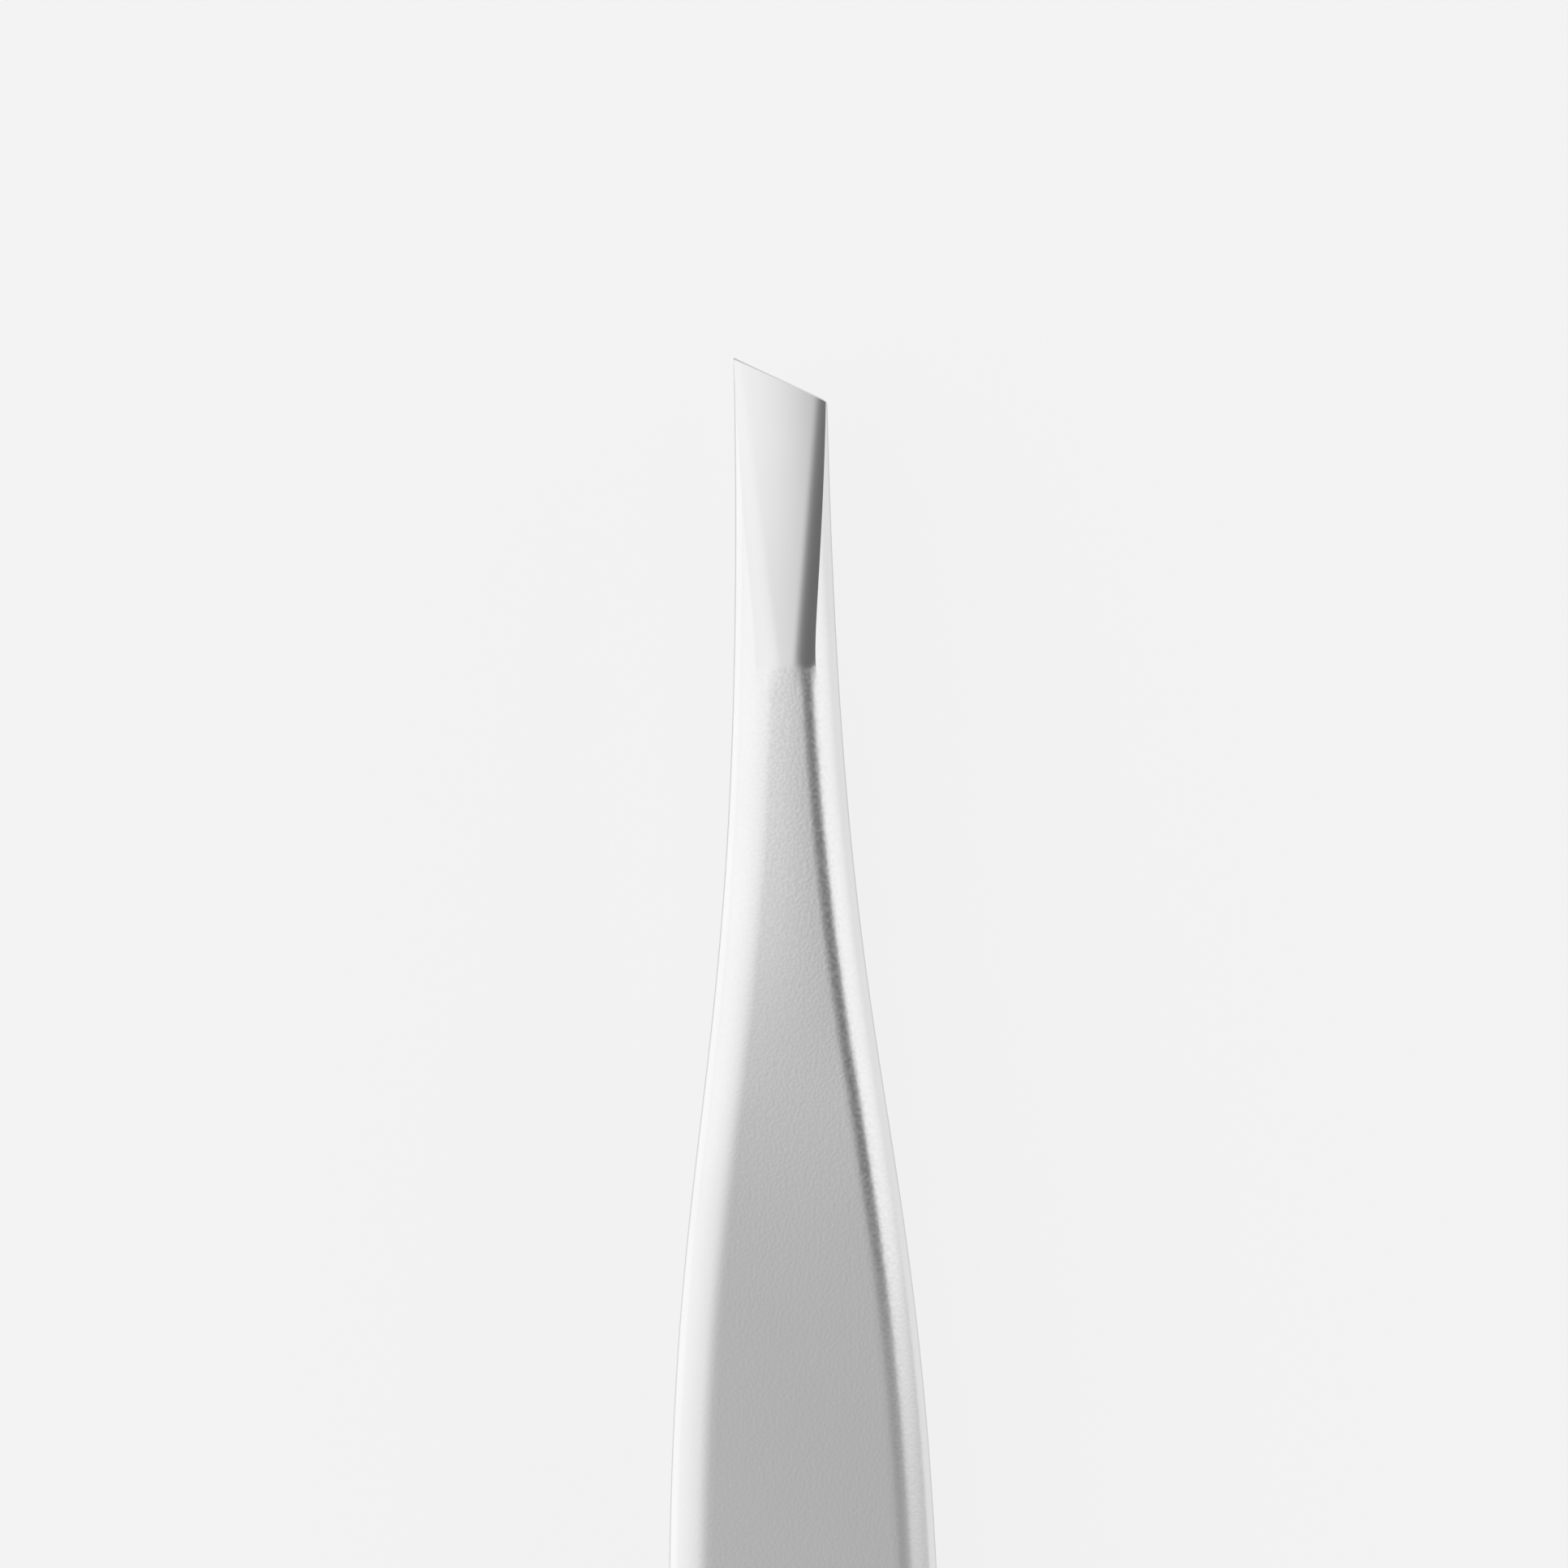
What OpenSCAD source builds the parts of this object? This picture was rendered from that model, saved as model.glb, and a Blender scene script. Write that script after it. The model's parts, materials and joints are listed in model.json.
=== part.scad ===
// Slant tweezers: two stainless steel blades, welded face to face at the heel
// and ground to a slanted edge at the tips. Millimetres.
//
// The blades are drawn about the mid-plane between them (z = 0), with the heel
// at x = 0 and the tips at x = overall_length. laid_down() then tips the pair
// so that the lower blade lies on its flat grip face, on z = 0.

/* [Overall] */
// Length from the heel to the longest point of the tips
overall_length = 95; // [82:0.5:120]
// Width of a blade at its widest
widest_width = 9.9; // [7:0.1:14]
// Distance from the tips back to the widest place
widest_from_tip = 52; // [44:0.5:62]
// Width of a blade just behind the tip edge
tip_width = 3.35; // [2.6:0.05:5]
// Width of a blade at the heel, before its end is rounded
heel_width = 5.4; // [4:0.1:8]
// Length of the rounded end of the heel
heel_round = 2.7; // [1.5:0.1:4]

/* [Blade section] */
// Thickness of the steel
blade_thickness = 1.4; // [1.1:0.05:2]
// Width of the rounded outer edges
edge_round_width = 1.4; // [0.6:0.05:1.6]
// Height of the straight side left under the rounded edge
side_height = 0.25; // [0.1:0.05:0.4]
// Size of the small chamfer on the inner edges
inner_chamfer = 0.15; // [0.05:0.05:0.25]
// Radius of the slight crosswise crown of the outer face behind the tips
crown_radius = 20; // [10:1:40]

/* [Side profile] */
// Length over which the two blades touch at the heel
heel_contact = 9; // [8:0.5:12]
// Where the flat grip begins, from the heel
grip_start = 28; // [24:0.5:32]
// Where the flat grip ends, from the heel
grip_end = 60; // [50:0.5:64]
// Angle of the grip face to the mid-plane with the tips open
grip_angle = 3.8; // [3:0.1:5]
// Height of the heel above the surface that the grip lies on
heel_lift = 0.1; // [0.05:0.05:0.5]
// Inward slope of the blade at the tips, before grinding
tip_slope = 3; // [1:0.5:5]

/* [Tips] */
// Opening between the tips at rest
tip_gap = 8; // [6:0.5:10]
// Angle of the slanted edge
slant_angle = 26; // [15:1:35]
// Length of the ground facet on the outside of each tip
facet_length = 12; // [8:0.5:13]
// Thickness left at the tip edge
tip_edge = 0.25; // [0.2:0.05:0.7]
// Depth ground off the inside of the tip to make the flat jaw
jaw_cut = 0.3; // [0.1:0.05:0.4]
// Half-width of the facet's flat middle where it begins
facet_flat_start = 0.1; // [0:0.05:0.6]
// Half-width of the facet's flat middle at the tip edge
facet_flat_end = 1.4; // [0.8:0.05:1.5]
// Radius that the facet's shoulders roll over with
facet_shoulder = 4.5; // [3:0.5:8]
// Radius of the short corner of the slanted edge
corner_radius = 0.25; // [0.1:0.05:0.6]

/* [Spring] */
// Where each blade flexes, from the heel
flex_x = 18; // [15:0.5:22]
// Gap between a blade's heel and arm, for the flexing
flex_gap = 0.1; // [0.05:0.01:0.2]
// Space left between the jaws when they are pinched shut
jaw_clearance = 0.06; // [0.02:0.02:0.2]

/* [Weld] */
// Diameter of each weld nugget
nugget_d = 2; // [1:0.1:2.6]
// Depth of each nugget in each blade
nugget_depth = 0.6; // [0.3:0.1:0.8]
// Distance from the heel's end to the first nugget
nugget_first = 3; // [2.4:0.1:4]
// Distance between the nuggets
nugget_pitch = 3.2; // [2.8:0.1:4]
// Number of nuggets in the row
nugget_count = 2; // [1:1:2]

/* [Hidden] */

steel = "gainsboro";
weld_steel = "darkgray";

// How far the plan's curves keep straight on at the widest place and at the tips
widest_pull_front = 26.8;
widest_pull_back = 17;
tip_pull = 29.4;
heel_pull = 12;
// Where the crown grows from flat to its radius
crown_grows_from = 68;
crown_grows_to = 84;
// How steadily the facet deepens towards the tip: 1 is a straight slope
facet_power = 1.5;
// Radius of the very slight crown across the facet's middle
facet_crown = 40;
// Length over which the facet runs out into the blade behind it
facet_fade = 1.2;
// Length over which the blade's sections turn from square to the slant
slant_run = 14;
// A rounded edge never takes more than this share of the half-width
round_share = 0.92;
// The rounded heel is closed by a flat this far from its end
heel_flat = 0.03;

widest_x = overall_length - widest_from_tip;
facet_x = overall_length - facet_length;
tip_half = tip_width / 2;
round_depth = blade_thickness - side_height - inner_chamfer;

// ---- Plan ----

// Point at t on a cubic curve through the control values p
function curve(p, t) =
    pow(1 - t, 3) * p[0] + 3 * pow(1 - t, 2) * t * p[1] + 3 * (1 - t) * t * t * p[2] + pow(t, 3) * p[3];

// The t at which the plan curve p reaches x, by halving
function curve_t(p, x, low = 0, high = 1, steps = 26) =
    let(middle = (low + high) / 2)
    steps == 0 ? middle
    : curve([for (q = p) q.x], middle) < x ? curve_t(p, x, middle, high, steps - 1)
    : curve_t(p, x, low, middle, steps - 1);

function height_on(p, x) = curve([for (q = p) q.y], curve_t(p, x));

rear_plan = [
    [0, heel_width / 2],
    [heel_pull, heel_width / 2],
    [widest_x - widest_pull_back, widest_width / 2],
    [widest_x, widest_width / 2]
];
front_plan = [
    [widest_x, widest_width / 2],
    [widest_x + widest_pull_front, widest_width / 2],
    [overall_length - tip_pull, tip_half],
    [overall_length, tip_half]
];

function heel_rounding(x) = x >= heel_round ? 1 : sqrt(1 - pow(1 - x / heel_round, 2));
function half_width(x) = height_on(x < widest_x ? rear_plan : front_plan, x) * heel_rounding(x);

// ---- Side profile ----

// Cubic from height z0 and slope s0 at x0 to height z1 and slope s1 at x1
function blend(x, x0, z0, s0, x1, z1, s1) =
    let(run = x1 - x0, u = (x - x0) / run)
    z0 * (2 * pow(u, 3) - 3 * u * u + 1) + s0 * run * (pow(u, 3) - 2 * u * u + u)
    + z1 * (3 * u * u - 2 * pow(u, 3)) + s1 * run * (pow(u, 3) - u * u);

grip_slope = tan(grip_angle);
function grip_line(x) = blade_thickness + heel_lift + x * grip_slope;
tip_outer = tip_gap / 2 - jaw_cut + blade_thickness;

// Height of the outer face above the mid-plane
function outer_z(x) =
    x <= heel_contact ? blade_thickness
    : x < grip_start ? blend(x, heel_contact, blade_thickness, 0, grip_start, grip_line(grip_start), grip_slope)
    : x <= grip_end ? grip_line(x)
    : blend(x, grip_end, grip_line(grip_end), grip_slope, overall_length, tip_outer, -tan(tip_slope));

// ---- Closing ----

// The flexing axis lies in the middle of the steel. Turning by close_angle
// brings the inner edge of the tip down to half the jaw clearance.
flex_z = outer_z(flex_x) - blade_thickness / 2;
tip_reach = norm([overall_length - flex_x, tip_gap / 2 - flex_z]);
tip_open_angle = atan2(tip_gap / 2 - flex_z, overall_length - flex_x);
tip_shut_angle = asin((jaw_clearance / 2 - flex_z) / tip_reach);
close_angle = tip_open_angle - tip_shut_angle;

// The jaw is ground flat, square to the mid-plane once the tips are shut
function jaw_z(x) = tip_gap / 2 + (x - overall_length) * tan(close_angle);
function inner_z(x) =
    let(plain = outer_z(x) - blade_thickness)
    x > facet_x ? max(plain, jaw_z(x)) : plain;

// ---- Section ----

function ramp(x, x0, x1) = max(0, min(1, (x - x0) / (x1 - x0)));
function mix(a, b, t) = a + (b - a) * t;

function edge_round(x) = min(edge_round_width, half_width(x) * round_share);

// Drop of the crown at the distance y from the middle
function crown_drop(x, y) = ramp(x, crown_grows_from, crown_grows_to) * y * y / (2 * crown_radius);

// Drop of the crown and the rounded edge together
function edge_drop(x, y) =
    let(r = edge_round(x), over = max(0, abs(y) - half_width(x) + r) / r)
    crown_drop(x, y) + (round_depth - crown_drop(x, half_width(x))) * (1 - sqrt(max(0, 1 - over * over)));

facet_depth = tip_outer - tip_gap / 2 - tip_edge;
function facet_drop(x, y) =
    let(
        run = ramp(x, facet_x, overall_length),
        over = max(0, abs(y) - mix(facet_flat_start, facet_flat_end, run))
    )
    facet_depth * pow(run, facet_power) + y * y / (2 * facet_crown)
    + facet_shoulder - sqrt(max(0, pow(facet_shoulder, 2) - over * over));

function top_z(x, y) =
    let(drop = edge_drop(x, y), ground = ramp(x, facet_x, facet_x + facet_fade))
    outer_z(x) - drop - ground * max(0, facet_drop(x, y) - drop);

// One section: each entry is [share of the half-width, level], going round from
// the +Y side over the outer face and back along the inner face
round_angles = [90, 75, 60, 46, 33, 21, 10, 0];
function outer_shares(x) =
    let(
        w = half_width(x),
        r = edge_round(x),
        side = [for (a = round_angles) (w - r * (1 - sin(a))) / w],
        flat = side[len(side) - 1]
    )
    concat(side, [flat / 2, -flat / 2], [for (i = [len(side) - 1:-1:0]) -side[i]]);

// Sections behind the tip turn gradually to the slant of the edge
function slanted_x(s, share) =
    s + ramp(s, overall_length - slant_run, overall_length) * (share - 1) * tip_half * tan(slant_angle);

function section_point(s, share, level) =
    let(
        x = slanted_x(s, share),
        w = half_width(x),
        side = top_z(x, w) - inner_z(x),
        chamfer = min(inner_chamfer, w / 2, side / 2),
        side_y = share * w,
        chamfer_y = sign(share) * (w - chamfer)
    )
    level == "outer" ? [x, side_y, top_z(x, side_y)]
    : level == "side" ? [x, side_y, inner_z(x) + chamfer]
    : [x, chamfer_y, inner_z(x)];

function section(s) = concat(
    [for (share = outer_shares(s)) section_point(s, share, "outer")],
    [section_point(s, -1, "side"), section_point(s, -1, "inner")],
    [section_point(s, 1, "inner"), section_point(s, 1, "side")]
);

// Closed skin over a row of sections
module skin(sections) {
    n = len(sections[0]);
    last = len(sections) - 1;
    walls = [
        for (i = [0:last - 1], j = [0:n - 1])
            let(a = i * n + j, b = i * n + (j + 1) % n, c = b + n, d = a + n)
            each [[a, b, c], [a, c, d]]
    ];
    start_cap = [[for (j = [n - 1:-1:0]) j]];
    end_cap = [[for (j = [0:n - 1]) last * n + j]];
    polyhedron([for (s = sections) each s], concat(walls, start_cap, end_cap));
}

// ---- Stations along the blade ----

function steps(x0, x1, count) = [for (i = [0:count - 1]) x0 + (x1 - x0) * i / count];

heel_stations = concat(
    [for (a = [0:15:75]) max(heel_flat, heel_round * (1 - cos(a)))],
    steps(heel_round, heel_contact, 3),
    steps(heel_contact, flex_x - flex_gap / 2, 6),
    [flex_x - flex_gap / 2]
);
arm_stations = concat(
    steps(flex_x + flex_gap / 2, grip_start, 5),
    steps(grip_start, widest_x, 4),
    steps(widest_x, grip_end, 5),
    steps(grip_end, facet_x - 0.01, 9),
    [facet_x - 0.01],
    steps(facet_x, overall_length, 9),
    [overall_length]
);

// ---- Pieces, drawn above the mid-plane ----

module heel_blade() {
    difference() {
        skin([for (s = heel_stations) section(s)]);
        nugget_row(nugget_depth);
    }
}

// Wedge that leaves the short corner of the slanted edge rounded
module corner_cut() {
    corner_x = overall_length - tip_width * tan(slant_angle);
    centre = [corner_x - corner_radius * tan(45 - slant_angle / 2), corner_radius - tip_half];
    reach = corner_radius * 2;
    translate([0, 0, tip_gap / 2 - 1])
        linear_extrude(height = blade_thickness + 2)
        difference() {
            polygon([
                centre,
                centre + reach * [0, -1],
                centre + reach * [1, -1],
                centre + reach * [cos(slant_angle), -sin(slant_angle)]
            ]);
            translate(centre) circle(r = corner_radius, $fn = 48);
        }
}

module arm_blade() {
    difference() {
        skin([for (s = arm_stations) section(s)]);
        corner_cut();
    }
}

module nugget_row(depth) {
    for (i = [0:nugget_count - 1])
        translate([nugget_first + i * nugget_pitch, 0, -depth])
            cylinder(d = nugget_d, h = 2 * depth, $fn = 48);
}

// Tips the pair onto the lower grip face and centres it over the origin
module laid_down() {
    translate([-overall_length / 2, 0, (blade_thickness + heel_lift) * cos(grip_angle)])
        rotate([0, -grip_angle, 0])
        children();
}

// ---- Nodes ----

module upper_arm() {
    color(steel) laid_down() arm_blade();
}

module lower_arm() {
    color(steel) laid_down() mirror([0, 0, 1]) arm_blade();
}

module upper_heel() {
    color(steel) laid_down() heel_blade();
}

module lower_heel() {
    color(steel) laid_down() mirror([0, 0, 1]) heel_blade();
}

module weld_nuggets() {
    color(weld_steel) laid_down() nugget_row(nugget_depth);
}

upper_arm();
lower_arm();
upper_heel();
lower_heel();
weld_nuggets();
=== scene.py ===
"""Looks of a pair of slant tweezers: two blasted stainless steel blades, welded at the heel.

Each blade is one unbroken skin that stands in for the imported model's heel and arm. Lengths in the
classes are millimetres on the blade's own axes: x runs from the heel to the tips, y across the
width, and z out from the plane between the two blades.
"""

import json
import logging
import math
from dataclasses import dataclass
from enum import Enum
from functools import lru_cache

import bmesh
import bpy
from mathutils import Matrix, Vector

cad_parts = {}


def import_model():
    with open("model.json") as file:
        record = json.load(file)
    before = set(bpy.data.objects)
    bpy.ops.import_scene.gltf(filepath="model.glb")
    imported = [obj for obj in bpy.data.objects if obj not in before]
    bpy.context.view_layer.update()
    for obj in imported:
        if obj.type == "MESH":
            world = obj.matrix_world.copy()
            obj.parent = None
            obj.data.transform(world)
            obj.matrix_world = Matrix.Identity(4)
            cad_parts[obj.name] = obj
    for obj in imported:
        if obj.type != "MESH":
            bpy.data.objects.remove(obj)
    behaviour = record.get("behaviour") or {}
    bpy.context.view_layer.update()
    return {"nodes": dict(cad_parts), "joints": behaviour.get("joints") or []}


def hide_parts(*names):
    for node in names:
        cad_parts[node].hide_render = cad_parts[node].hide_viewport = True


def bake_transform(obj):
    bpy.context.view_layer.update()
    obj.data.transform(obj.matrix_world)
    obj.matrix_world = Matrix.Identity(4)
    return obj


LOG = logging.getLogger("tweezers")
MM = 0.001
POLISH_ATTRIBUTE = "polish"
BISECTIONS = 30

Colour = tuple[float, float, float]
Table = tuple[tuple[float, float], ...]
Ring = list[bmesh.types.BMVert]
Feed = bpy.types.NodeSocket | float


def ramp(x: float, x0: float, x1: float) -> float:
    """Return how far x is from x0 to x1, held between 0 and 1."""
    return max(0.0, min(1.0, (x - x0) / (x1 - x0)))


def smooth(t: float) -> float:
    """Return t eased in and out."""
    return t * t * (3.0 - 2.0 * t)


def mix(a: float, b: float, t: float) -> float:
    """Return the value t of the way from a to b."""
    return a + (b - a) * t


def radians(pair: tuple[float, float]) -> tuple[float, float]:
    """Return a pair of angles in degrees as radians."""
    return math.radians(pair[0]), math.radians(pair[1])


def grey(level: float) -> tuple[float, float, float, float]:
    """Return an opaque grey of a linear level."""
    return level, level, level, 1.0


class Side(Enum):
    """Which of the two blades a piece is, with its sign away from the mid-plane."""

    UPPER = 1
    LOWER = -1


@dataclass(frozen=True)
class PlanCurve:
    """A cubic curve in the plan, from one width to another.

    Attributes:
        along: the four control values along the blade.
        across: the four control values of the half-width.
    """

    along: tuple[float, float, float, float]
    across: tuple[float, float, float, float]

    @staticmethod
    def at(p: tuple[float, float, float, float], t: float) -> float:
        """Return the cubic through the control values p at t."""
        s = 1.0 - t
        return s**3 * p[0] + 3 * s * s * t * p[1] + 3 * s * t * t * p[2] + t**3 * p[3]

    def half_width(self, x: float) -> float:
        """Find the half-width where the curve passes x.

        Args:
            x: distance from the heel.

        Returns:
            The half-width there.
        """
        low, high = 0.0, 1.0
        for _ in range(BISECTIONS):
            middle = (low + high) / 2
            if self.at(self.along, middle) < x:
                low = middle
            else:
                high = middle
        return self.at(self.across, low)


@dataclass(frozen=True)
class BladeForm:
    """The shape of one blade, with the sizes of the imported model, in millimetres and degrees.

    Attributes:
        length: from the heel's end to the tip's long point.
        widest_width: width at the grip.
        widest_from_tip: distance of the widest place behind the tip.
        tip_width: width of the tip's edge, measured across the blade.
        heel_width: width at the heel.
        heel_round: length of the heel's rounded end.
        rear_handles: lengths of the outline's curve handles, at the heel and at the widest place.
        front_handles: the same at the widest place and at the tip.
        thickness: thickness of the steel.
        edge_round_width: width of the rounded outer edge.
        edge_share: the most of the half-width that the rounded edge may take.
        side_height: height of the upright side between the two rounded edges.
        inner_round: radius of the inner edges.
        crown_radius: radius of the outer face's crosswise crown near the tip.
        crown_grows_from: where the crown begins.
        crown_grows_to: where it is full.
        heel_contact: length over which the two blades touch.
        grip_start: where the flat grip face begins.
        grip_end: where it ends.
        grip_angle: angle of the grip face to the mid-plane.
        heel_lift: clearance of the heel when the tweezers lie on a grip face.
        tip_slope: how steeply the blade turns back in at its tip.
        tip_gap: opening between the tips.
        slant_angle: slant of the tip's edge.
        slant_run: length over which the sections turn to that slant.
        corner_radius: radius of the tip's short corner.
        corner_run: length over which the sections take up that corner.
        facet_length: length of the ground facet.
        facet_power: how the facet deepens towards the tip.
        facet_crown: radius of the facet's crosswise crown.
        facet_flat_start: half-width of the facet's flat where it begins.
        facet_flat_end: the same at the tip.
        facet_shoulder: radius of the facet's rolled shoulders.
        facet_fade: length over which the facet sets in.
        crease_run: length over which the skin's lines lead in to the facet's edges.
        crease_from: distance behind the facet's start from which its edges are sharp.
        tip_edge: thickness left at the tip's edge.
        jaw_cut: depth ground off the inner face at the tip.
        tip_bevel: length of the tiny bevel along the tip's edge.
        tip_bevel_slope: depth of that bevel over its length.
        flex_x: where the blade flexes.
        close_angle: how far it flexes until the jaws meet.
        polish_x: where the facet's smoother finish begins.
        polish_edge: half the length over which that finish sets in.
        jaw_fade: depth of grinding at which the jaw's finish is full.
    """

    length: float = 95.0
    widest_width: float = 9.9
    widest_from_tip: float = 52.0
    tip_width: float = 3.35
    heel_width: float = 5.4
    heel_round: float = 2.7
    rear_handles: tuple[float, float] = (12.0, 17.0)
    front_handles: tuple[float, float] = (26.8, 29.4)
    thickness: float = 1.4
    edge_round_width: float = 1.4
    edge_share: float = 0.92
    side_height: float = 0.25
    inner_round: float = 0.15
    crown_radius: float = 20.0
    crown_grows_from: float = 68.0
    crown_grows_to: float = 84.0
    heel_contact: float = 9.0
    grip_start: float = 28.0
    grip_end: float = 60.0
    grip_angle: float = 3.8
    heel_lift: float = 0.1
    tip_slope: float = 3.0
    tip_gap: float = 8.0
    slant_angle: float = 26.0
    slant_run: float = 14.0
    corner_radius: float = 0.25
    corner_run: float = 0.8
    facet_length: float = 12.0
    facet_power: float = 1.5
    facet_crown: float = 40.0
    facet_flat_start: float = 0.1
    facet_flat_end: float = 1.4
    facet_shoulder: float = 4.5
    facet_fade: float = 1.2
    crease_run: float = 6.0
    crease_from: float = 0.3
    tip_edge: float = 0.25
    jaw_cut: float = 0.3
    tip_bevel: float = 0.06
    tip_bevel_slope: float = 0.8
    flex_x: float = 18.0
    close_angle: float = 2.95
    polish_x: float = 83.8
    polish_edge: float = 0.12
    jaw_fade: float = 0.02

    @property
    def widest_x(self) -> float:
        """Return where the blade is widest."""
        return self.length - self.widest_from_tip

    @property
    def facet_x(self) -> float:
        """Return where the ground facet begins."""
        return self.length - self.facet_length

    @property
    def bevel_x(self) -> float:
        """Return where the tiny bevel along the tip's edge begins."""
        return self.length - self.tip_bevel

    @property
    def round_depth(self) -> float:
        """Return how deep the rounded outer edge goes."""
        return self.thickness - self.side_height - self.inner_round

    @property
    def grip_slope(self) -> float:
        """Return the slope of the grip face to the mid-plane."""
        return math.tan(math.radians(self.grip_angle))

    @lru_cache(maxsize=None)
    def half_width(self, x: float) -> float:
        """Work out the blade's half-width.

        Args:
            x: distance from the heel.

        Returns:
            The half-width there.
        """
        heel, widest, tip = self.heel_width / 2, self.widest_width / 2, self.tip_width / 2
        if x < self.widest_x:
            leaves, reaches = self.rear_handles
            along = (0.0, leaves, self.widest_x - reaches, self.widest_x)
            plain = PlanCurve(along, (heel, heel, widest, widest)).half_width(x)
        else:
            leaves, reaches = self.front_handles
            along = (self.widest_x, self.widest_x + leaves, self.length - reaches, self.length)
            plain = PlanCurve(along, (widest, widest, tip, tip)).half_width(x)
        if x >= self.heel_round:
            return plain
        return plain * math.sqrt(max(0.0, 1 - (1 - x / self.heel_round) ** 2))

    @staticmethod
    def blend(
        x: float, start: tuple[float, float, float], end: tuple[float, float, float]
    ) -> float:
        """Work out a height on a cubic between two places.

        Args:
            x: distance from the heel.
            start: the first place's distance from the heel, height and slope.
            end: the same of the second place.

        Returns:
            The height at x.
        """
        x0, z0, s0 = start
        x1, z1, s1 = end
        run = x1 - x0
        u = (x - x0) / run
        return (
            z0 * (2 * u**3 - 3 * u * u + 1)
            + s0 * run * (u**3 - 2 * u * u + u)
            + z1 * (3 * u * u - 2 * u**3)
            + s1 * run * (u**3 - u * u)
        )

    def grip_line(self, x: float) -> float:
        """Return the height of the flat grip face's line at x."""
        return self.thickness + self.heel_lift + x * self.grip_slope

    @lru_cache(maxsize=None)
    def outer_z(self, x: float) -> float:
        """Work out the outer face's height before its edges are rounded or its facet is ground.

        Args:
            x: distance from the heel.

        Returns:
            The height above the mid-plane.
        """
        grip_in = (self.grip_start, self.grip_line(self.grip_start), self.grip_slope)
        grip_out = (self.grip_end, self.grip_line(self.grip_end), self.grip_slope)
        tip_z = self.tip_gap / 2 - self.jaw_cut + self.thickness
        tip = (self.length, tip_z, -math.tan(math.radians(self.tip_slope)))
        if x <= self.heel_contact:
            return self.thickness
        if x < self.grip_start:
            return self.blend(x, (self.heel_contact, self.thickness, 0.0), grip_in)
        if x <= self.grip_end:
            return self.grip_line(x)
        return self.blend(x, grip_out, tip)

    def inner_z(self, x: float) -> float:
        """Work out the inner face's height, with the jaw ground flat at the tip.

        Args:
            x: distance from the heel.

        Returns:
            The height above the mid-plane.
        """
        plain = self.outer_z(x) - self.thickness
        if x <= self.facet_x:
            return plain
        jaw = self.tip_gap / 2 + (x - self.length) * math.tan(math.radians(self.close_angle))
        return max(plain, jaw)

    def edge_round(self, x: float) -> float:
        """Return the width of the rounded outer edge at x."""
        return min(self.edge_round_width, self.half_width(x) * self.edge_share)

    def crown_drop(self, x: float, y: float) -> float:
        """Return how far the outer face's slight crosswise crown has dropped at y."""
        grown = ramp(x, self.crown_grows_from, self.crown_grows_to)
        return grown * y * y / (2 * self.crown_radius)

    def edge_drop(self, x: float, y: float) -> float:
        """Work out how far the crown and the rounded edge together have dropped.

        Args:
            x: distance from the heel.
            y: distance from the middle.

        Returns:
            The drop below the outer face's height.
        """
        width, half = self.edge_round(x), self.half_width(x)
        over = max(0.0, abs(y) - half + width) / width
        depth = self.round_depth - self.crown_drop(x, half)
        return self.crown_drop(x, y) + depth * (1 - math.sqrt(max(0.0, 1 - over * over)))

    def facet_drop(self, x: float, y: float) -> float:
        """Work out how far the ground facet, with its rolled shoulders, lies below the face.

        Args:
            x: distance from the heel.
            y: distance from the middle.

        Returns:
            The drop below the outer face's height.
        """
        depth = self.thickness - self.jaw_cut - self.tip_edge
        run = ramp(x, self.facet_x, self.length)
        over = max(0.0, abs(y) - mix(self.facet_flat_start, self.facet_flat_end, run))
        roll = self.facet_shoulder - math.sqrt(max(0.0, self.facet_shoulder**2 - over * over))
        return depth * run**self.facet_power + y * y / (2 * self.facet_crown) + roll

    def top_z(self, x: float, y: float) -> float:
        """Work out the height of the finished outer face.

        Args:
            x: distance from the heel.
            y: distance from the middle.

        Returns:
            The height above the mid-plane.
        """
        drop = self.edge_drop(x, y)
        ground = ramp(x, self.facet_x, self.facet_x + self.facet_fade)
        return self.outer_z(x) - drop - ground * max(0.0, self.facet_drop(x, y) - drop)

    @lru_cache(maxsize=None)
    def crease_y(self, x: float) -> float:
        """Find how far from the middle the facet meets the rounded edge.

        Args:
            x: distance from the heel.

        Returns:
            The crease's distance from the middle; behind the facet, a line that runs on smoothly
            to where the edge's rounding begins.
        """
        flat = self.half_width(x) - self.edge_round(x)
        if x < self.facet_x:
            lead = smooth(ramp(x, self.facet_x - self.crease_run, self.facet_x))
            return mix(flat, self.crease_y(self.facet_x), lead)
        low, high = flat, self.half_width(x)
        for _ in range(BISECTIONS):
            middle = (low + high) / 2
            if self.facet_drop(x, middle) > self.edge_drop(x, middle):
                low = middle
            else:
                high = middle
        return low

    def corner_drop(self, y: float) -> float:
        """Work out how much the rounded short corner takes off the slanted edge's length.

        Args:
            y: distance from the middle, positive towards the long point.

        Returns:
            The length taken off there.
        """
        slant = math.radians(self.slant_angle)
        radius = self.corner_radius
        across = y + self.tip_width / 2
        if across >= radius * (1 - math.sin(slant)):
            return 0.0
        centre_x = -radius * math.tan(math.radians(45) - slant / 2)
        arc = math.sqrt(max(0.0, radius * radius - (radius - across) ** 2))
        return across * math.tan(slant) - centre_x - arc


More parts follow.
